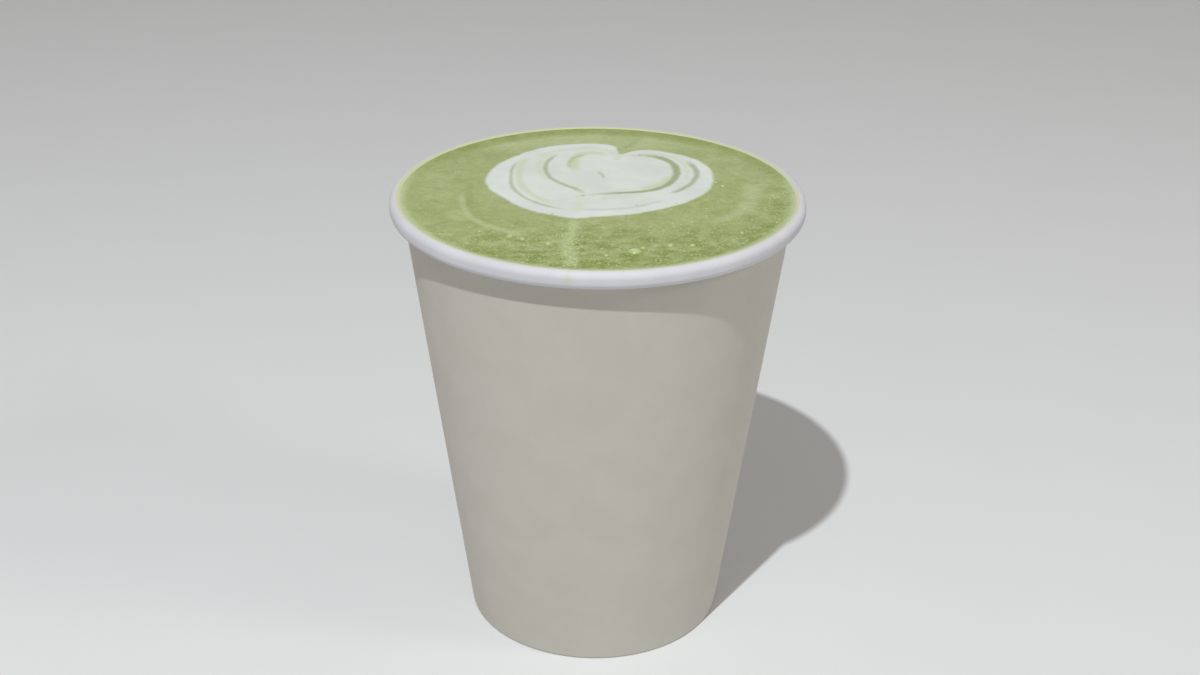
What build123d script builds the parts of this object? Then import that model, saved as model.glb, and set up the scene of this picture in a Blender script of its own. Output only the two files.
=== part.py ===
"""A brim-full matcha latte in a rolled-rim paper cup. Millimetres, +Z up, origin at the centre of the foot.

Three pieces, each drawn as a section in (radius, height) and turned about Z:
the side wall, one strip of board, folded in at the foot, rolled out at the rim and lapped at its seam;
the base, a disc of the same board with a skirt that the fold at the foot holds;
the drink, which fills the cup from the base disc to just under the top of the rim.
"""

from math import asin, atan2, cos, degrees, hypot, radians, sin, tan
import os

from build123d import *

# Driving sizes
RIM_DIAMETER = 90.0
CUP_HEIGHT = 102.0
FOOT_DIAMETER = 58.4
BOARD = 0.40  # thickness of the coated paperboard
ROLL_WIDTH = 3.05  # the rolled rim, across
ROLL_HEIGHT = 3.80  # the rolled rim, top to bottom
CURL_END_DEG = 140.0  # how far round the lower bend the rolled edge goes, from the outside inward
RECESS_DEPTH = 8.0  # table to the underside of the base disc
TAIL_HEIGHT = 6.4  # how far the folded-in edge stands up inside the foot
FOOT_ROUNDING = 0.35
SKIRT_GAP = 0.15  # between the skirt's lower edge and the fold under it
BASE_BEND = 0.80  # outer radius where the base disc turns down into its skirt
LAP_WIDTH = 7.0  # overlap of the side seam, across, at the rim
LAP_AZIMUTH_DEG = 90.0  # the seam stands at the back
LAP_END_GAP = 0.70  # the seam's outer layer ends this far from the foot and from the rolled edge
FILL_DEPTH = 0.50  # top of the rim down to the drink

# The roll is two bends joined by a straight flank, drawn round one radius
roll_outer = ROLL_WIDTH / 2
roll_inner = roll_outer - BOARD
roll_centre = RIM_DIAMETER / 2 - roll_outer
upper_bend = CUP_HEIGHT - roll_outer
lower_bend = CUP_HEIGHT - ROLL_HEIGHT + roll_outer

# The wall leans so that its outer face, drawn up from the foot, is tangent to the inside of the roll
foot_radius = FOOT_DIAMETER / 2
across = roll_centre - foot_radius
lean = atan2(across, upper_bend) - asin(roll_inner / hypot(across, upper_bend))
layer = BOARD / cos(lean)  # one layer of board, measured across at one height
tangent_deg = 180 - degrees(lean)  # where the wall runs into the upper bend


def wall_point(height, layers_in):
    """Point of the wall's outer face at this height, or of the face that many layers of board further in."""
    return (foot_radius + height * tan(lean) - layers_in * layer, height)


def bend_point(radius, angle_deg, centre_height):
    """Point at this radius and angle round one of the roll's two bends."""
    angle = radians(angle_deg)
    return (roll_centre + radius * cos(angle), centre_height + radius * sin(angle))


def bend(radius, start_deg, end_deg, centre_height):
    """Arc round one of the roll's two bends."""
    angles = (start_deg, (start_deg + end_deg) / 2, end_deg)
    return ThreePointArc(*(bend_point(radius, angle, centre_height) for angle in angles))


def joined(*parts):
    """The face inside an outline of arcs and corner points, in order, with straight lines across the gaps."""
    curves = [part for part in parts if not isinstance(part, tuple)]
    ends = [(part, part) if isinstance(part, tuple) else (part @ 0, part @ 1) for part in parts]
    lines = [Line(end, start) for (_, end), (start, _) in zip(ends, ends[1:] + ends[:1])]
    return make_face(curves + lines)


def turned(section, angle_deg=360.0):
    """The section, drawn with radius along X and height along Y, turned about Z."""
    return revolve(Rot(90, 0, 0) * section, Axis.Z, angle_deg)


def wall_section():
    """Foot, outer face, inside of the roll, rolled edge, outside of the roll, inner face, fold and tail."""
    section = joined(
        wall_point(0, 3),
        wall_point(0, 0),
        bend(roll_inner, tangent_deg, 0, upper_bend),
        bend(roll_inner, 0, -CURL_END_DEG, lower_bend),
        bend(roll_outer, -CURL_END_DEG, 0, lower_bend),
        bend(roll_outer, 0, tangent_deg, upper_bend),
        wall_point(BOARD, 1),
        wall_point(BOARD, 2),
        wall_point(TAIL_HEIGHT, 2),
        wall_point(TAIL_HEIGHT, 3),
    )
    foot_corners = section.vertices().group_by(Axis.Y)[0]
    return fillet(foot_corners, FOOT_ROUNDING)


def lap_section():
    """The seam's second layer of board on the wall's outer face. It starts inside the first layer."""
    low = LAP_END_GAP
    high = bend_point(roll_outer, -CURL_END_DEG, lower_bend)[1] - LAP_END_GAP
    return joined(wall_point(low, 0.5), wall_point(low, -1), wall_point(high, -1), wall_point(high, 0.5))


def cup_wall():
    lap_deg = degrees(LAP_WIDTH / roll_centre)
    lap = Rot(0, 0, LAP_AZIMUTH_DEG - lap_deg / 2) * turned(lap_section(), lap_deg)
    return turned(wall_section()) + lap


def cup_base():
    """The disc and its skirt, which hangs between the wall and the tail."""
    top = RECESS_DEPTH + BOARD
    low = BOARD + SKIRT_GAP
    section = joined(
        (0, RECESS_DEPTH),
        wall_point(RECESS_DEPTH, 2),
        wall_point(low, 2),
        wall_point(low, 1),
        wall_point(top, 1),
        (0, top),
    )
    inner_corner = section.vertices().sort_by_distance(wall_point(RECESS_DEPTH, 2))[0]
    section = fillet(inner_corner, BASE_BEND - BOARD)
    outer_corner = section.vertices().sort_by_distance(wall_point(top, 1))[0]
    return turned(fillet(outer_corner, BASE_BEND))


def matcha_latte(base):
    """All the room above the base disc, up to the level where the drink meets the roll's inner flank."""
    level = CUP_HEIGHT - FILL_DEPTH
    shore_deg = 180 - degrees(asin((level - upper_bend) / roll_outer))
    section = joined(
        (0, RECESS_DEPTH),
        wall_point(RECESS_DEPTH, 1),
        bend(roll_outer, tangent_deg, shore_deg, upper_bend),
        (0, level),
    )
    return turned(section) - base


base = cup_base()
os.makedirs("parts", exist_ok=True)
export_step(cup_wall(), "parts/cup_wall.step")
export_step(base, "parts/cup_base.step")
export_step(matcha_latte(base), "parts/matcha_latte.step")
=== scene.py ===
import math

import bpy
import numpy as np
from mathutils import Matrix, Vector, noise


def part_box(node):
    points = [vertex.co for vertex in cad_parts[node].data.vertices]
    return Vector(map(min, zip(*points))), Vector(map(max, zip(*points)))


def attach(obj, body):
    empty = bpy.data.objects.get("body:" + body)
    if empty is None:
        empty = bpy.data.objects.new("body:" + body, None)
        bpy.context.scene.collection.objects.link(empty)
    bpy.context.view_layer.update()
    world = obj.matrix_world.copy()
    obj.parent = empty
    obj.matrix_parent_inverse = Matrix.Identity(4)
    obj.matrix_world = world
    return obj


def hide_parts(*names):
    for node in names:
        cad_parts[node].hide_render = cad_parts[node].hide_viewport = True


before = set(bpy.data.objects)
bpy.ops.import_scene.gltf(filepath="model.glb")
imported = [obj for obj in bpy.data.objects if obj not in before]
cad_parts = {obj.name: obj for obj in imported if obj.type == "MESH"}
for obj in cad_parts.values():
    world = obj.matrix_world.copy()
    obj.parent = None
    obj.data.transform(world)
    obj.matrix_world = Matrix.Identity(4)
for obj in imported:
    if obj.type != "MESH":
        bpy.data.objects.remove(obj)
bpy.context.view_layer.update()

# A brim-full matcha latte in a rolled-rim paper cup, on a plain pale floor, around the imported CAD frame.
#
# The cup's wall is a finer mesh of the same section as the CAD wall, the base disc is the CAD's own, and
# the drink is a dense surface whose latte art is drawn as strokes in millimetres, seen from above, with the
# front of the cup at -Y. Sizes here are millimetres until a mesh is made, and metres from then on.

MM = 0.001

# Sizes that the CAD gives
CUP_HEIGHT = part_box("cup_wall")[1][2] / MM
RIM_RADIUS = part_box("cup_wall")[1][0] / MM
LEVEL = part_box("matcha_latte")[1][2] / MM
BASE_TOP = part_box("cup_base")[1][2] / MM

# Sizes of the wall's section, as in the CAD model
FOOT_RADIUS = 29.2
BOARD = 0.40
ROLL_OUTER = 1.525
ROLL_INNER = ROLL_OUTER - BOARD
ROLL_HEIGHT = 3.80
CURL_END_DEG = 140.0
TAIL_HEIGHT = 6.4
FOOT_ROUNDING = 0.35
LAP_WIDTH = 7.0
LAP_AZIMUTH_DEG = 90.0
LAP_END_GAP = 0.70

# Places on that section
ROLL_CENTRE = RIM_RADIUS - ROLL_OUTER
UPPER_BEND = CUP_HEIGHT - ROLL_OUTER
LOWER_BEND = CUP_HEIGHT - ROLL_HEIGHT + ROLL_OUTER
ACROSS = ROLL_CENTRE - FOOT_RADIUS
LEAN = math.atan2(ACROSS, UPPER_BEND) - math.asin(ROLL_INNER / math.hypot(ACROSS, UPPER_BEND))
LAYER = BOARD / math.cos(LEAN)
TANGENT_DEG = 180 - math.degrees(LEAN)

# Finish of the wall
WALL_SEGMENTS = 720
CURL_BULGE_DEG = 2.0  # how far the middle of the rolled edge's cut stands out
BELOW_ROLL = 1.0  # from the end of the roll down to the inner face's next row of points
BELOW_CUT = 0.2  # from the tail's cut edge down to its next row
LAP_RAMP = 1.6  # how far the seam's far side takes to run out, in widths of the lap
LAP_FADE = (LOWER_BEND - 3.2, LOWER_BEND - 2.2)  # heights between which the lap ends, under the roll
LAP_CLEAR = 0.9  # the lap stays this far in from the middle of the roll
KNURL_RIBS = 72
KNURL_DEPTH = 0.10
KNURL_RISE = (0.4, 1.6)  # heights between which the ribs start
KNURL_FALL = (TAIL_HEIGHT - 1.2, TAIL_HEIGHT - 0.3)  # and end
SHARP_DEG = 40.0  # edges that turn more than this stay crisp

# Finish of the drink
DRINK_GRID = 270  # squares along each side of the surface's grid
EDGE_LIFT = 0.28  # how far the foam climbs the roll's flank
EDGE_LIFT_WIDTH = 1.8  # how far from its edge that starts
INTO_WALL = 0.06  # how far the drink's edge reaches into the wall, so that no gap shows
BOTTOM_RISE = 1.0  # how far above the base disc the drink's sides begin to draw in
BOTTOM_INSET = 0.6  # how far in they end
MILK_SWELL = 0.05  # the milk stands this far above the foam, and its lines lie that far lower
WAVES = 0.02  # height of the surface's slow waves
GRAIN = 0.035  # and of the froth's grain
MILK_EDGE = (-0.35, 0.65)  # how far inside its outline the milk starts, and is full
OPEN_END = 0.12  # a stroke's share of its strength at its very ends
SPECK_STRENGTH = 0.85
NOISE_SEED = 7  # noise_vector starts from the clock without one

# Film of the drink, dried on the roll
FILM_EDGE = (-0.5, 0.3)  # how far in from the middle of the roll it starts, and is full
SMEAR_X = -5.6  # a smear on the front of the roll, where the milk was poured
SMEAR_FADE = (0.3, 1.3)
SMEAR_STRENGTH = 0.45


def flank_radius(height):
    """Radius of the roll's inner flank at this height."""
    return ROLL_CENTRE - math.sqrt(ROLL_OUTER**2 - (height - UPPER_BEND) ** 2)


SHORE_RADIUS = flank_radius(LEVEL)
EDGE_RADIUS = flank_radius(LEVEL + EDGE_LIFT) + INTO_WALL


# ---------------------------------------------------------------- small tools


def srgb(red, green, blue):
    """Linear colour of an 8-bit sRGB one."""
    def linear(value):
        share = value / 255
        return share / 12.92 if share <= 0.04045 else ((share + 0.055) / 1.055) ** 2.4
    return (linear(red), linear(green), linear(blue), 1.0)


def smoothstep(low, high, value):
    """0 below low, 1 above high, and smooth between."""
    share = np.clip((value - low) / (high - low), 0, 1)
    return share * share * (3 - 2 * share)


def mesh_object(name, points_mm, faces):
    """A smooth-shaded object that rides on the cup. The points are in millimetres."""
    mesh = bpy.data.meshes.new(name)
    mesh.from_pydata((np.asarray(points_mm, dtype=float) * MM).tolist(), [], faces)
    mesh.validate()
    for polygon in mesh.polygons:
        polygon.use_smooth = True
    mesh.set_sharp_from_angle(angle=math.radians(SHARP_DEG))
    piece = bpy.data.objects.new(name, mesh)
    bpy.context.scene.collection.objects.link(piece)
    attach(piece, "root")
    return piece


def add_attribute(piece, name, values):
    """A number for each vertex, for the materials to read."""
    attribute = piece.data.attributes.new(name, "FLOAT", "POINT")
    attribute.data.foreach_set("value", np.asarray(values, dtype=np.float32))


class Shader:
    """Builds one material's nodes around its Principled shader."""

    def __init__(self, name, roughness):
        self.material = bpy.data.materials.new(name)
        self.material.use_nodes = True
        self.nodes = self.material.node_tree.nodes
        self.links = self.material.node_tree.links
        self.surface = self.nodes["Principled BSDF"]
        self.surface.inputs["Roughness"].default_value = roughness
        coordinates = self.nodes.new("ShaderNodeTexCoord")
        self.place = coordinates.outputs["Object"]

    def plug(self, value, socket):
        """Links an output to a socket, or sets a plain value on it."""
        if isinstance(value, bpy.types.NodeSocket):
            self.links.new(value, socket)
        else:
            socket.default_value = value

    def attribute(self, name):
        """The number that add_attribute gave each vertex."""
        node = self.nodes.new("ShaderNodeAttribute")
        node.attribute_name = name
        return node.outputs["Fac"]

    def noise(self, grain_mm, detail=2.0, stretch=(1, 1, 1)):
        """Smooth noise about 0.5, with blotches about this wide, drawn out along an axis by stretch."""
        mapping = self.nodes.new("ShaderNodeMapping")
        self.links.new(self.place, mapping.inputs["Vector"])
        mapping.inputs["Scale"].default_value = [1 / (grain_mm * MM * part) for part in stretch]
        node = self.nodes.new("ShaderNodeTexNoise")
        self.links.new(mapping.outputs["Vector"], node.inputs["Vector"])
        node.inputs["Scale"].default_value = 1.0
        node.inputs["Detail"].default_value = detail
        return node.outputs["Fac"]

    def cells(self, size_mm):
        """Distance to the nearest of a scatter of points about this far apart, in shares of that."""
        node = self.nodes.new("ShaderNodeTexVoronoi")
        self.links.new(self.place, node.inputs["Vector"])
        node.inputs["Scale"].default_value = 1 / (size_mm * MM)
        return node.outputs["Distance"]

    def spread(self, value, low, high, to_low=0.0, to_high=1.0):
        """Maps low..high smoothly to to_low..to_high. With low above high, small values give to_high."""
        node = self.nodes.new("ShaderNodeMapRange")
        node.interpolation_type = "SMOOTHSTEP"
        self.plug(value, node.inputs["Value"])
        node.inputs["From Min"].default_value = low
        node.inputs["From Max"].default_value = high
        node.inputs["To Min"].default_value = to_low
        node.inputs["To Max"].default_value = to_high
        return node.outputs["Result"]

    def math(self, operation, first, second):
        """One sum on two outputs or plain values."""
        node = self.nodes.new("ShaderNodeMath")
        node.operation = operation
        self.plug(first, node.inputs[0])
        self.plug(second, node.inputs[1])
        return node.outputs["Value"]

    def mix(self, share, first, second):
        """Colour between first and second."""
        node = self.nodes.new("ShaderNodeMix")
        node.data_type = "RGBA"
        self.plug(share, node.inputs["Factor"])
        self.plug(first, node.inputs["A"])
        self.plug(second, node.inputs["B"])
        return node.outputs["Result"]

    def finish(self, colour, height=None, height_mm=0.1, strength=0.5):
        """Wires the colour and, where given, a height as fine relief."""
        self.links.new(colour, self.surface.inputs["Base Color"])
        if height is not None:
            bump = self.nodes.new("ShaderNodeBump")
            bump.inputs["Strength"].default_value = strength
            bump.inputs["Distance"].default_value = height_mm * MM
            self.links.new(height, bump.inputs["Height"])
            self.links.new(bump.outputs["Normal"], self.surface.inputs["Normal"])
        return self.material


# ---------------------------------------------------------------- materials


def board_material():
    """Paperboard: a warm grey matte print outside, white coating on the roll and inside, raw cut edges."""
    shader = Shader("cup_board", roughness=0.62)
    shader.surface.inputs["Specular IOR Level"].default_value = 0.35
    fibres = shader.noise(0.35, detail=4.0, stretch=(1.6, 1.6, 0.8))
    clouds = shader.noise(9.0, detail=3.0)
    printed = shader.mix(shader.spread(clouds, 0.3, 0.7), srgb(190, 185, 175), srgb(193, 189, 179))
    printed = shader.mix(shader.spread(fibres, 0.45, 0.8, 0, 0.35), printed, srgb(201, 197, 188))
    coated = shader.mix(shader.spread(clouds, 0.35, 0.65), srgb(199, 198, 203), srgb(204, 203, 208))
    film = shader.math("MULTIPLY", shader.attribute("film"), shader.spread(clouds, 0.2, 0.6, 0.65, 1.0))
    coated = shader.mix(film, coated, srgb(194, 196, 160))
    raw = shader.mix(shader.spread(fibres, 0.3, 0.7), srgb(206, 198, 182), srgb(226, 220, 206))
    colour = shader.mix(shader.attribute("printed"), coated, printed)
    colour = shader.mix(shader.attribute("cut"), colour, raw)
    return shader.finish(colour, fibres, height_mm=0.05, strength=0.30)


def base_material():
    """The base disc's plain white board, a little fibrous and mottled."""
    shader = Shader("base_board", roughness=0.75)
    fibres = shader.noise(0.5, detail=4.0, stretch=(1.0, 2.2, 1.0))
    clouds = shader.noise(6.0, detail=3.0)
    colour = shader.mix(shader.spread(clouds, 0.3, 0.7), srgb(222, 219, 211), srgb(231, 229, 222))
    colour = shader.mix(shader.spread(fibres, 0.5, 0.8, 0, 0.4), colour, srgb(240, 238, 232))
    return shader.finish(colour, fibres, height_mm=0.06, strength=0.4)


def drink_material():
    """Green milk foam with white milk in it, fine froth, pits, and a pale ring at the edge."""
    shader = Shader("matcha", roughness=0.42)
    shader.surface.inputs["Specular IOR Level"].default_value = 0.30
    clouds = shader.noise(7.0, detail=3.0)
    mottle = shader.noise(1.5, detail=4.0, stretch=(1.3, 1.0, 1.0))
    froth = shader.noise(0.45, detail=2.0)
    pits = shader.cells(0.9)
    rough = shader.attribute("rough")

    green = shader.mix(shader.spread(clouds, 0.30, 0.70), srgb(148, 159, 99), srgb(161, 170, 116))
    green = shader.mix(shader.spread(mottle, 0.42, 0.78, 0, 0.38), green, srgb(170, 181, 132))
    streak = shader.noise(1.1, detail=5.0, stretch=(1.3, 1.0, 1.0))
    green = shader.mix(shader.spread(streak, 0.54, 0.34, 0, 0.42), green, srgb(130, 142, 70))
    green = shader.mix(shader.attribute("dark"), green, srgb(118, 132, 56))
    green = shader.mix(shader.spread(froth, 0.55, 0.75, 0, 0.22), green, srgb(178, 190, 138))
    speckle = shader.math("MULTIPLY", shader.spread(froth, 0.50, 0.72), rough)
    green = shader.mix(shader.math("MULTIPLY", speckle, 0.45), green, srgb(190, 202, 150))
    holes = shader.math("MULTIPLY", shader.spread(pits, 0.34, 0.12), rough)
    green = shader.mix(shader.math("MULTIPLY", holes, 0.5), green, srgb(98, 116, 40))
    green = shader.mix(shader.attribute("pale"), green, srgb(192, 203, 160))

    white = shader.mix(shader.spread(clouds, 0.3, 0.7), srgb(203, 208, 201), srgb(212, 216, 211))
    colour = shader.mix(shader.attribute("milk"), green, white)
    colour = shader.mix(shader.attribute("tint"), colour, srgb(180, 194, 142))
    colour = shader.mix(shader.attribute("line"), colour, srgb(126, 142, 76))

    relief = shader.math("ADD", shader.math("MULTIPLY", froth, rough), shader.math("MULTIPLY", mottle, 0.35))
    return shader.finish(colour, relief, height_mm=0.10, strength=0.35)


def bubble_material():
    """Thin skins of froth: pale yellow-green and fairly smooth."""
    shader = Shader("bubbles", roughness=0.35)
    shader.surface.inputs["Specular IOR Level"].default_value = 0.35
    colour = shader.mix(shader.spread(shader.noise(0.8), 0.3, 0.7), srgb(160, 176, 116), srgb(182, 195, 144))
    return shader.finish(colour)


def floor_material():
    """A plain pale floor, very slightly mottled."""
    shader = Shader("floor", roughness=0.7)
    return shader.finish(shader.mix(shader.noise(40.0), srgb(220, 221, 221), srgb(223, 224, 224)))


# ---------------------------------------------------------------- the cup


def wall_point(height, layers_in):
    """Point of the wall's outer face at this height, or of the face that many layers of board further in."""
    return (FOOT_RADIUS + height * math.tan(LEAN) - layers_in * LAYER, height)


def straight(start, end, steps):
    """Points from start, up to but without end."""
    return [(start[0] + (end[0] - start[0]) * i / steps, start[1] + (end[1] - start[1]) * i / steps)
            for i in range(steps)]


def arc(radius, centre, start_deg, end_deg, steps):
    """Points round an arc, both ends included, or only its start where there are no steps."""
    angles = np.radians(np.linspace(start_deg, end_deg, steps + 1))
    return [(centre[0] + radius * math.cos(a), centre[1] + radius * math.sin(a)) for a in angles]


def wall_profile():
    """The wall's section as (radius, height, kind), in order.

    outer and tail are the printed face, roll and inner are the coated one, and cut is a raw edge.
    """
    upper = (ROLL_CENTRE, UPPER_BEND)
    lower = (ROLL_CENTRE, LOWER_BEND)
    foot_left = (wall_point(0, 3)[0] + FOOT_ROUNDING, FOOT_ROUNDING)
    foot_right = (wall_point(0, 0)[0] - FOOT_ROUNDING, FOOT_ROUNDING)
    roll_start = arc(ROLL_INNER, upper, TANGENT_DEG, 0, 8)
    bulge_deg = -CURL_END_DEG - CURL_BULGE_DEG
    parts = [
        ("outer", arc(FOOT_ROUNDING, foot_left, 180, 270, 5)),
        ("outer", arc(FOOT_ROUNDING, foot_right, 270, 360, 5)),
        ("outer", straight(wall_point(LAP_END_GAP / 2, 0), roll_start[0], 30)),
        ("outer", roll_start),
        ("outer", arc(ROLL_INNER, lower, 0, -CURL_END_DEG, 8)),
        ("cut", arc(ROLL_OUTER - BOARD / 3, lower, bulge_deg, bulge_deg, 0)),
        ("roll", arc(ROLL_OUTER, lower, -CURL_END_DEG, 0, 16)),
        ("roll", arc(ROLL_OUTER, upper, 0, TANGENT_DEG, 24)),
        ("inner", straight(wall_point(UPPER_BEND - BELOW_ROLL, 1), wall_point(BOARD, 1), 4)),
        ("inner", [wall_point(BOARD, 1), wall_point(BOARD, 2)]),
        ("inner", straight(wall_point(BOARD * 2, 2), wall_point(TAIL_HEIGHT, 2), 2)),
        ("cut", [wall_point(TAIL_HEIGHT, 2), wall_point(TAIL_HEIGHT, 3)]),
        ("tail", straight(wall_point(TAIL_HEIGHT - BELOW_CUT, 3), wall_point(FOOT_ROUNDING, 3), 12)),
    ]
    return [(radius, height, kind) for kind, points in parts for radius, height in points]


def lap_proud(azimuth, height):
    """How far the seam's outer layer stands out: a cut step on one side, and a smooth rise on the other."""
    lap = LAP_WIDTH / ROLL_CENTRE
    along = (azimuth - math.radians(LAP_AZIMUTH_DEG) + lap / 2) % math.tau
    across = np.where(along < lap, 1.0, 1 - smoothstep(lap, lap + LAP_RAMP * lap, along))
    return BOARD * across * smoothstep(0, LAP_END_GAP, height) * (1 - smoothstep(*LAP_FADE, height))


def knurl(azimuth, height):
    """Pressed ribs round the inside of the foot, which fade out at the fold and at the tail's edge."""
    rib = 0.5 + 0.5 * np.cos(KNURL_RIBS * azimuth)
    return KNURL_DEPTH * rib * smoothstep(*KNURL_RISE, height) * (1 - smoothstep(*KNURL_FALL, height))


def drink_film(points):
    """Where the drink has dried on the roll: its inner flank, and a smear where the milk was poured."""
    radius = np.linalg.norm(points[:, :2], axis=1)
    flank = smoothstep(*FILM_EDGE, ROLL_CENTRE - radius) * smoothstep(UPPER_BEND, LEVEL, points[:, 2])
    smear_gap = np.hypot(points[:, 0] - SMEAR_X, 0.5 * (points[:, 2] - UPPER_BEND))
    at_front = points[:, 1] < -ROLL_CENTRE
    smear = SMEAR_STRENGTH * (1 - smoothstep(*SMEAR_FADE, smear_gap)) * at_front
    return np.maximum(flank, smear)


def make_wall():
    """The cup's wall: the section turned round, with the seam's step and the foot's pressed ribs."""
    profile = wall_profile()
    kinds = np.array([kind for _, _, kind in profile])
    radius = np.array([point[0] for point in profile])[:, None]
    height = np.array([point[1] for point in profile])[:, None]
    azimuth = (np.arange(WALL_SEGMENTS) * math.tau / WALL_SEGMENTS)[None, :]
    lapped = (kinds == "outer")[:, None] & (radius < ROLL_CENTRE - LAP_CLEAR)
    proud = np.where(lapped, lap_proud(azimuth, height), 0)
    pressed = np.where((kinds == "tail")[:, None], knurl(azimuth, height), 0)
    turned = radius + proud + pressed
    heights = np.broadcast_to(height, turned.shape)
    points = np.stack([turned * np.cos(azimuth), turned * np.sin(azimuth), heights], axis=-1).reshape(-1, 3)
    faces = []
    for row in range(len(profile)):
        here = row * WALL_SEGMENTS
        there = (row + 1) % len(profile) * WALL_SEGMENTS
        for turn in range(WALL_SEGMENTS):
            after = (turn + 1) % WALL_SEGMENTS
            faces.append((here + turn, here + after, there + after, there + turn))
    wall = mesh_object("cup_wall_board", points, faces)
    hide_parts("cup_wall")
    printed = (kinds == "outer") | (kinds == "tail")
    add_attribute(wall, "printed", np.repeat(printed, WALL_SEGMENTS))
    add_attribute(wall, "cut", np.repeat(kinds == "cut", WALL_SEGMENTS))
    add_attribute(wall, "film", drink_film(points))
    wall.data.materials.append(board_material())


def dress_base():
    """The CAD's base disc keeps its shape and gets the board's finish."""
    base = bpy.data.objects["cup_base"]
    material = base_material()
    if base.material_slots:
        for slot in base.material_slots:
            slot.material = material
    else:
        base.data.materials.append(material)


# ---------------------------------------------------------------- the latte art

# Outline of the white heart, round from its tip up the left side
HEART = [
    (-4.7, -15.0), (-8.0, -14.0), (-13.0, -11.5), (-18.0, -7.0), (-22.0, -1.0), (-24.2, 4.0), (-24.9, 9.5),
    (-23.5, 16.0), (-20.5, 21.5), (-16.5, 26.5), (-12.0, 30.0), (-7.0, 32.2), (-2.0, 32.9), (2.0, 32.3),
    (4.2, 30.5), (4.8, 28.0), (5.1, 25.8), (6.2, 26.2), (8.0, 27.6), (11.0, 28.4), (15.0, 27.6),
    (19.0, 25.5), (22.5, 22.3), (24.6, 18.5), (25.7, 13.0), (25.6, 7.0), (24.2, 2.0), (21.0, -3.0),
    (16.0, -7.5), (10.0, -11.0), (4.0, -13.2), (-1.0, -14.3),
]

# Strokes in and round the heart: points, width at the start, width at the end, softness, strength.
# LINES are green lines in the milk, and TINTS are paler bands beside them.
LINES = [
    ([(-18.0, 20.6), (-19.4, 15.6), (-19.5, 10.0), (-19.0, 5.0), (-17.8, 0.6), (-15.0, -4.0), (-10.8, -8.0),
      (-6.2, -10.2)], 0.35, 0.50, 0.5, 0.50),
    ([(-4.5, -9.8), (1.3, -9.8), (6.4, -8.6), (10.2, -6.6), (14.6, -3.4)], 0.3, 0.3, 0.7, 0.26),
    ([(20.4, 21.2), (21.6, 16.4), (21.9, 11.4), (20.6, 6.5), (18.0, 2.5), (15.2, 0.2)], 1.0, 0.5, 0.7, 0.62),
    ([(-9.4, 25.4), (-11.3, 21.4), (-11.9, 17.0), (-11.4, 12.4), (-10.0, 8.4), (-7.4, 5.0), (-4.6, 2.2),
      (-2.8, -0.4)], 0.4, 0.8, 0.6, 0.58),
    ([(-2.6, -1.2), (3.0, 0.2), (8.0, 0.9), (12.0, 2.3), (15.0, 5.4), (17.0, 10.0), (17.6, 14.4),
      (17.1, 18.8), (15.0, 22.4), (11.6, 24.6), (7.0, 24.6)], 0.6, 1.4, 0.7, 0.76),
    ([(-3.2, 24.8), (-5.7, 22.6), (-6.7, 19.0), (-6.2, 15.2)], 0.5, 0.4, 0.7, 0.36),
    ([(0.3, 13.8), (1.0, 11.4), (1.7, 9.0)], 0.5, 0.3, 0.4, 0.42),
    ([(-9.0, -5.4), (-5.6, -3.4), (-3.4, -1.0)], 0.3, 0.3, 0.6, 0.10),
]
TINTS = [
    ([(-15.2, 23.0), (-17.0, 19.6), (-17.7, 14.6), (-17.6, 9.4), (-16.6, 3.8), (-14.6, -0.6), (-11.6, -4.4),
      (-8.0, -7.4)], 1.2, 0.9, 0.9, 0.50),
    ([(3.0, 24.6), (-1.0, 26.2), (-4.4, 24.6), (-5.6, 21.0), (-5.4, 16.6), (-4.4, 12.6)],
     1.1, 1.2, 1.5, 0.62),
    ([(3.6, 23.0), (3.2, 27.0), (-0.8, 29.2), (-6.8, 28.4), (-12.2, 25.0), (-15.4, 20.6)],
     0.8, 0.8, 1.0, 0.32),
    ([(-9.6, 26.4), (-12.8, 22.4), (-13.4, 17.0), (-12.8, 11.6), (-10.6, 6.4)], 0.8, 0.6, 1.0, 0.30),
    ([(9.0, 2.8), (12.4, 4.6), (14.6, 7.6), (15.8, 11.4)], 1.0, 0.8, 1.7, 0.60),
    ([(5.2, 26.0), (4.8, 23.4), (4.2, 20.8)], 0.9, 0.4, 0.7, 0.40),
    ([(8.0, 26.2), (12.4, 26.2), (16.8, 23.6), (19.4, 19.0), (19.8, 12.0), (18.6, 6.4)],
     0.7, 0.6, 0.8, 0.30),
    ([(-4.2, -0.8), (-4.0, -6.0), (-4.4, -12.0)], 1.2, 0.8, 1.2, 0.22),
]

# Strokes in the foam: PALES are the milk's tail and two pale swirls, and DARKS are dark swirls
PALES = [
    ([(-4.8, -15.0), (-5.0, -20.0), (-6.0, -25.0), (-5.9, -31.0), (-5.2, -37.0), (-5.0, -42.0)],
     0.7, 2.2, 1.2, 0.36),
    ([(-29.0, 1.0), (-29.0, -5.0), (-28.0, -10.4), (-26.0, -15.4), (-22.4, -19.6), (-17.8, -23.0),
      (-13.6, -25.2)], 0.5, 0.7, 0.9, 0.30),
    ([(34.4, 8.0), (33.6, 0.0), (32.2, -5.2), (29.2, -11.6), (23.0, -17.4)], 1.6, 1.2, 2.2, 0.32),
]
DARKS = [
    ([(-27.8, 8.0), (-27.9, -1.0), (-26.9, -9.8), (-24.3, -15.3), (-19.2, -19.8)], 1.2, 0.8, 1.2, 0.35),
    ([(9.4, 36.5), (8.0, 32.4), (6.0, 29.2)], 1.0, 0.7, 0.9, 0.65),
]

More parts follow.
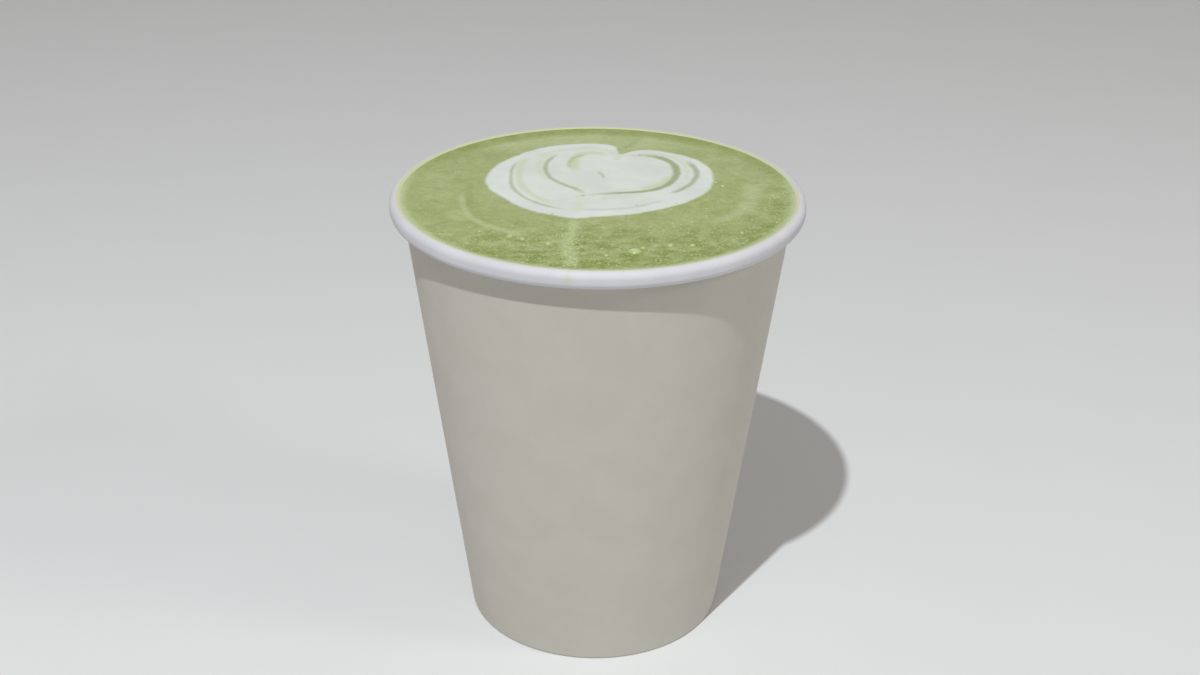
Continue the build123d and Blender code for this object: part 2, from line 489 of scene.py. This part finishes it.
# Small dark specks: place and width
SPECKS = [
    ((-3.2, -1.6), 0.7), ((1.3, -3.1), 0.45), ((-9.6, -12.5), 0.6), ((12.8, 2.9), 0.8), ((14.8, 5.2), 0.8),
    ((8.3, -6.9), 0.5), ((9.6, 24.7), 0.7), ((11.4, 24.2), 0.6), ((21.6, -29.8), 0.7), ((22.6, -30.4), 0.5),
    ((20.9, -30.6), 0.5),
]

# Sides of the cup where the foam changes, as directions seen from above
FRONT = (0.0, -1.0)
FRONT_RIGHT = (0.35, -0.94)
RIGHT = (0.97, -0.25)


def curve_through(points, closed=False, steps=8):
    """A smooth line through the points, with this many steps between each two."""
    points = np.asarray(points, dtype=float)
    count = len(points)
    spans = count if closed else count - 1
    ids = np.arange(spans)
    def at(offset):
        index = ids + offset
        return points[index % count] if closed else points[np.clip(index, 0, count - 1)]
    before, start, end, after = at(-1), at(0), at(1), at(2)
    along = np.arange(steps)[:, None, None] / steps
    line = 0.5 * (2 * start + (end - before) * along + (2 * before - 5 * start + 4 * end - after) * along**2
                  + (3 * start - before - 3 * end + after) * along**3)
    line = line.transpose(1, 0, 2).reshape(-1, 2)
    return np.vstack([line, line[:1] if closed else points[-1:]])


def nearest(spots, line):
    """Each spot's distance to the line, and how far along the line that is, from 0 to 1."""
    best = np.full(len(spots), np.inf)
    where = np.zeros(len(spots))
    for index in range(len(line) - 1):
        start = line[index]
        step = line[index + 1] - start
        share = np.clip(((spots - start) @ step) / max(step @ step, 1e-12), 0, 1)
        gap = np.linalg.norm(spots - start - share[:, None] * step, axis=1)
        closer = gap < best
        best[closer] = gap[closer]
        where[closer] = (index + share[closer]) / (len(line) - 1)
    return best, where


def inside(spots, line):
    """Whether each spot is inside a closed line."""
    crossed = np.zeros(len(spots), dtype=bool)
    for (x0, y0), (x1, y1) in zip(line[:-1], line[1:]):
        if y0 != y1:
            level = (y0 > spots[:, 1]) != (y1 > spots[:, 1])
            crossed ^= level & (spots[:, 0] < (x1 - x0) * (spots[:, 1] - y0) / (y1 - y0) + x0)
    return crossed


def painted(spots, strokes):
    """How strongly the strokes cover each spot, from 0 to 1. A stroke fades towards both ends."""
    cover = np.zeros(len(spots))
    for points, start_width, end_width, softness, strength in strokes:
        gap, along = nearest(spots, curve_through(points))
        half = (start_width + (end_width - start_width) * along) / 2
        ends = smoothstep(0, 0.15, along) * (1 - smoothstep(0.82, 1.0, along))
        across = 1 - smoothstep(half - softness / 4, half + softness, gap)
        cover = np.maximum(cover, strength * (OPEN_END + (1 - OPEN_END) * ends) * across)
    return cover


def specked(spots):
    """How strongly the specks cover each spot, from 0 to 1."""
    cover = np.zeros(len(spots))
    for centre, width in SPECKS:
        distance = np.linalg.norm(spots - centre, axis=1)
        cover = np.maximum(cover, SPECK_STRENGTH * (1 - smoothstep(width * 0.2, width * 0.8, distance)))
    return cover


def wavering(spots, grain_mm, reach_mm, seed):
    """The spots moved about by smooth noise, so that what is drawn at them has an uneven edge."""
    noise.seed_set(NOISE_SEED)
    shift = [noise.noise_vector(Vector((x / grain_mm, y / grain_mm, seed))) for x, y in spots]
    return spots + reach_mm * np.array([(v.x, v.y) for v in shift])


def field(spots, grain_mm, seed):
    """Smooth noise between about -1 and 1 at each spot."""
    places = [Vector((x / grain_mm, y / grain_mm, seed)) for x, y in spots]
    return np.array([noise.fractal(place, 1.0, 2.0, 3) for place in places])


def towards(side, x, y):
    """How far a spot lies towards a side of the cup, as a share of the shore's radius."""
    return (side[0] * x + side[1] * y) / SHORE_RADIUS


# ---------------------------------------------------------------- the drink


def round_grid(count, radius):
    """An even grid of spots bent into a disc, its faces, and the order of the spots round its edge."""
    side = np.linspace(-1, 1, count + 1)
    x, y = np.meshgrid(side, side)
    bent = np.stack([x * np.sqrt(1 - y * y / 2), y * np.sqrt(1 - x * x / 2)], axis=-1)
    rows = np.arange((count + 1) ** 2).reshape(count + 1, count + 1)
    edge = np.concatenate([rows[0, :-1], rows[:-1, -1], rows[-1, :0:-1], rows[:0:-1, 0]])
    faces = np.stack([rows[:-1, :-1], rows[:-1, 1:], rows[1:, 1:], rows[1:, :-1]], axis=-1).reshape(-1, 4)
    return radius * bent.reshape(-1, 2), faces.tolist(), edge


def foam_shades(spots):
    """How dark, how pale and how rough the green foam is at each spot, each from 0 to 1."""
    x, y = spots[:, 0], spots[:, 1]
    radius = np.linalg.norm(spots, axis=1)
    uneven = field(spots, grain_mm=5.0, seed=2.9)
    patchy = field(spots * (0.6, 1.0), grain_mm=1.8, seed=6.6)
    front = smoothstep(0.30, 0.80, towards(FRONT, x, y) + 0.10 * uneven)
    front_right = smoothstep(0.15, 0.95, towards(FRONT_RIGHT, x, y) + 0.12 * uneven)
    right = smoothstep(0.70, 1.05, towards(RIGHT, x, y) + 0.10 * uneven)
    back = smoothstep(SHORE_RADIUS - 4.5, SHORE_RADIUS - 0.5, radius) * smoothstep(0, 30, y)
    dark = 0.10 + 0.22 * front_right + 0.34 * right + 0.46 * back + 0.34 * front + 0.20 * uneven
    dark = np.clip(dark + patchy * (0.16 + 0.75 * np.maximum(front, right)), 0, 1)

    # A pale ring at the shore, except at the back, and a paler stretch between the heart and the back
    ring = smoothstep(SHORE_RADIUS - 1.6, SHORE_RADIUS + 0.2, radius + 0.5 * uneven)
    ring = ring * (1 - smoothstep(-5, 20, y))
    behind = smoothstep(24, 34, y) * (1 - smoothstep(SHORE_RADIUS - 5, SHORE_RADIUS - 2.5, radius))
    pale = np.maximum(0.55 * ring, 0.30 * behind)
    rough = np.clip(0.30 + 0.9 * np.maximum(front, front_right) + 0.5 * right, 0, 1)
    return dark, pale, rough


def drink_art(spots):
    """What the surface shows at each spot: white milk, tinted bands, lines, pale and dark swirls, froth."""
    drawn = wavering(spots, grain_mm=8.0, reach_mm=0.35, seed=1.7)
    drawn = wavering(drawn, grain_mm=1.5, reach_mm=0.22, seed=5.3)
    outline = curve_through(HEART, closed=True)
    gap = nearest(drawn, outline)[0] * np.where(inside(drawn, outline), 1, -1)
    milk = smoothstep(*MILK_EDGE, gap)
    dark, pale, rough = foam_shades(spots)
    return {
        "milk": milk,
        "tint": np.maximum(painted(drawn, TINTS), 0.08 * smoothstep(3.5, 6.5, gap)) * milk,
        "line": np.maximum(painted(drawn, LINES), specked(spots)),
        "pale": np.maximum(painted(drawn, PALES), pale) * (1 - milk),
        "dark": np.maximum(painted(drawn, DARKS), dark) * (1 - milk),
        "rough": rough * (1 - milk),
    }


def make_drink():
    """The whole drink as one closed mesh, dense on top, with the art in its attributes."""
    spots, faces, edge = round_grid(DRINK_GRID, EDGE_RADIUS)
    art = drink_art(spots)
    radius = np.linalg.norm(spots, axis=1)
    meniscus = EDGE_LIFT * smoothstep(EDGE_RADIUS - EDGE_LIFT_WIDTH, EDGE_RADIUS - INTO_WALL, radius)
    waves = WAVES * field(spots, grain_mm=6.0, seed=8.1)
    swell = MILK_SWELL * art["milk"] - MILK_SWELL * art["line"] + waves
    grain = GRAIN * field(spots, grain_mm=0.8, seed=4.4) * art["rough"]
    top = np.column_stack([spots, LEVEL + meniscus + swell + grain])

    def ring(at_height, reach):
        """The surface's edge, moved to the wall's inner face at this height and this much further out."""
        scale = (wall_point(at_height, 1)[0] + reach) / radius[edge]
        return np.column_stack([spots[edge] * scale[:, None], np.full(len(edge), at_height)])

    # The sides follow the wall down to the base disc, and draw in at its rounded edge
    sides = [ring(UPPER_BEND * share, INTO_WALL) for share in (1.0, 0.75, 0.5, 0.25)]
    sides += [ring(BASE_TOP + BOTTOM_RISE, INTO_WALL), ring(BASE_TOP, -BOTTOM_INSET)]
    points = np.vstack([top, *sides])
    loops = [edge] + [len(top) + k * len(edge) + np.arange(len(edge)) for k in range(len(sides))]
    for upper, lower in zip(loops, loops[1:]):
        for j in range(len(edge)):
            after = (j + 1) % len(edge)
            faces.append([int(upper[j]), int(lower[j]), int(lower[after]), int(upper[after])])
    faces.append([int(index) for index in loops[-1][::-1]])
    drink = mesh_object("latte", points, faces)
    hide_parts("matcha_latte")
    for name, values in art.items():
        add_attribute(drink, name, np.concatenate([values, np.zeros(len(points) - len(top))]))
    drink.data.materials.append(drink_material())


# Bubbles that stand out one by one: place and width
BIG_BUBBLES = [
    ((7.5, -32.2), 2.7), ((9.2, -30.6), 1.1), ((-9.9, -28.8), 1.5), ((-17.9, -24.9), 1.5),
    ((14.7, -29.2), 1.3), ((19.2, -29.0), 1.2), ((27.3, 5.1), 1.0), ((26.0, 7.4), 0.7),
    ((-15.2, -26.4), 0.9), ((1.8, -34.6), 1.0), ((-24.2, -22.6), 0.8), ((29.6, -22.0), 0.9),
]
TINY_WIDTH = (0.20, 0.50)  # smallest and largest
FOAM_TRIES = 900  # places tried for a tiny bubble, most of which stay free
TAIL_BUBBLES = 150
TAIL_X = -5.4
TAIL_START_Y = -16.0
TAIL_LENGTH = 24.5
BUBBLE_RISE = 0.30  # height as a share of the width
BUBBLE_TALLEST = 0.40
BUBBLE_SINK = 0.06  # how far a bubble reaches into the foam
BUBBLE_RINGS = 4
BUBBLE_TURNS = 12


def bubble_spots():
    """The large bubbles, and a seeded scatter of tiny ones over the frothy front and the milk's tail."""
    chance = np.random.default_rng(7)
    spots = list(BIG_BUBBLES)
    for _ in range(FOAM_TRIES):
        angle = chance.uniform(0, math.tau)
        distance = SHORE_RADIUS * math.sqrt(chance.uniform(0, 0.97))
        x, y = distance * math.cos(angle), distance * math.sin(angle)
        if towards(FRONT_RIGHT, x, y) > chance.uniform(0.1, 0.9):
            spots.append(((x, y), chance.uniform(*TINY_WIDTH)))
    for _ in range(TAIL_BUBBLES):
        share = chance.uniform(0, 1)
        x = TAIL_X + chance.normal(0, 0.5 + 0.8 * share)
        spots.append(((x, TAIL_START_Y - TAIL_LENGTH * share), chance.uniform(*TINY_WIDTH)))
    return spots


def dome(place, width, first):
    """One bubble's points and faces, for a mesh where its points are numbered from first on."""
    x, y = place
    rise = min(BUBBLE_RISE * width, BUBBLE_TALLEST)
    points = [(x, y, LEVEL + rise)]
    for ring in range(1, BUBBLE_RINGS + 1):
        lean = ring / BUBBLE_RINGS * math.pi / 2
        reach = width / 2 * math.sin(lean)
        height = LEVEL - BUBBLE_SINK + (rise + BUBBLE_SINK) * math.cos(lean)
        for turn in range(BUBBLE_TURNS):
            angle = turn * math.tau / BUBBLE_TURNS
            points.append((x + reach * math.cos(angle), y + reach * math.sin(angle), height))
    faces = []
    for turn in range(BUBBLE_TURNS):
        after = (turn + 1) % BUBBLE_TURNS
        faces.append((first, first + 1 + turn, first + 1 + after))
        for ring in range(BUBBLE_RINGS - 1):
            here = first + 1 + ring * BUBBLE_TURNS
            below = here + BUBBLE_TURNS
            faces.append((here + turn, below + turn, below + after, here + after))
    lowest = first + 1 + (BUBBLE_RINGS - 1) * BUBBLE_TURNS
    faces.append(tuple(lowest + turn for turn in reversed(range(BUBBLE_TURNS))))
    return points, faces


def make_bubbles():
    """All the bubbles in one mesh. Each is a low dome, sunk a little into the foam."""
    points = []
    faces = []
    for place, width in bubble_spots():
        dome_points, dome_faces = dome(place, width, first=len(points))
        points += dome_points
        faces += dome_faces
    bubbles = mesh_object("foam_bubbles", points, faces)
    bubbles.data.materials.append(bubble_material())


# ---------------------------------------------------------------- stage, light and camera

FLOOR_SIZE = 6.0  # metres
LAMP_AIM_MM = (0, 0, 60)
FILL_COLOUR = (1.0, 0.965, 0.92, 1.0)
FILL_STRENGTH = 0.31
CAMERA_PLACE_MM = (0.0, -345.7, 232.7)
CAMERA_PITCH_DEG = 25.63
CAMERA_YAW_DEG = 0.13
CAMERA_ROLL_DEG = 0.61
CAMERA_LENS_MM = 51.0


def make_floor():
    """A wide floor under the cup."""
    bpy.ops.mesh.primitive_plane_add(size=FLOOR_SIZE)
    floor = bpy.context.object
    floor.name = "floor"
    floor.data.materials.append(floor_material())


def area_light(name, place_mm, width_mm, watts, colour):
    """A round lamp aimed at the cup."""
    light = bpy.data.lights.new(name, "AREA")
    light.shape = "DISK"
    light.size = width_mm * MM
    light.energy = watts
    light.color = colour
    lamp = bpy.data.objects.new(name, light)
    place = Vector(place_mm) * MM
    lamp.location = place
    lamp.rotation_euler = (Vector(LAMP_AIM_MM) * MM - place).to_track_quat("-Z", "Y").to_euler()
    bpy.context.scene.collection.objects.link(lamp)


def make_surround():
    """Even pale light on everything, and a plain grey background where it is seen or mirrored."""
    world = bpy.data.worlds.new("surround")
    world.use_nodes = True
    nodes = world.node_tree.nodes
    links = world.node_tree.links
    fill = nodes["Background"]
    fill.inputs["Color"].default_value = FILL_COLOUR
    fill.inputs["Strength"].default_value = FILL_STRENGTH
    shown = nodes.new("ShaderNodeBackground")
    shown.inputs["Color"].default_value = srgb(214, 214, 213)
    path = nodes.new("ShaderNodeLightPath")
    seen = path.outputs["Is Camera Ray"]
    for ray in ("Is Glossy Ray", "Is Transmission Ray"):
        either = nodes.new("ShaderNodeMath")
        either.operation = "MAXIMUM"
        links.new(seen, either.inputs[0])
        links.new(path.outputs[ray], either.inputs[1])
        seen = either.outputs["Value"]
    both = nodes.new("ShaderNodeMixShader")
    links.new(seen, both.inputs["Fac"])
    links.new(fill.outputs["Background"], both.inputs[1])
    links.new(shown.outputs["Background"], both.inputs[2])
    links.new(both.outputs["Shader"], nodes["World Output"].inputs["Surface"])
    bpy.context.scene.world = world


def make_lights():
    """A small lamp high in front and a little left, a weak wide one at the right, and the surround."""
    area_light("key", (-136, -462, 862), width_mm=20, watts=6.6, colour=(0.96, 1.0, 1.03))
    area_light("side", (900, -300, 700), width_mm=300, watts=1.9, colour=(1.0, 0.97, 0.92))
    make_surround()


def make_camera():
    """Stands in front of the cup and looks down at it."""
    pitch, yaw, roll = (math.radians(v) for v in (CAMERA_PITCH_DEG, CAMERA_YAW_DEG, CAMERA_ROLL_DEG))
    forward = Vector((math.sin(yaw) * math.cos(pitch), math.cos(yaw) * math.cos(pitch), -math.sin(pitch)))
    level = Vector((math.cos(yaw), -math.sin(yaw), 0))
    upright = level.cross(forward)
    right = math.cos(roll) * level + math.sin(roll) * upright
    up = math.cos(roll) * upright - math.sin(roll) * level
    data = bpy.data.cameras.new("camera")
    data.lens = CAMERA_LENS_MM
    data.sensor_width = 36.0
    data.clip_start = 0.01
    camera = bpy.data.objects.new("camera", data)
    turn = Matrix((right, up, -forward)).transposed().to_4x4()
    camera.matrix_world = Matrix.Translation(Vector(CAMERA_PLACE_MM) * MM) @ turn
    bpy.context.scene.collection.objects.link(camera)
    bpy.context.scene.camera = camera


make_camera()
make_floor()
make_lights()
make_wall()
dress_base()
make_drink()
make_bubbles()

bpy.context.scene.view_settings.view_transform = "Standard"
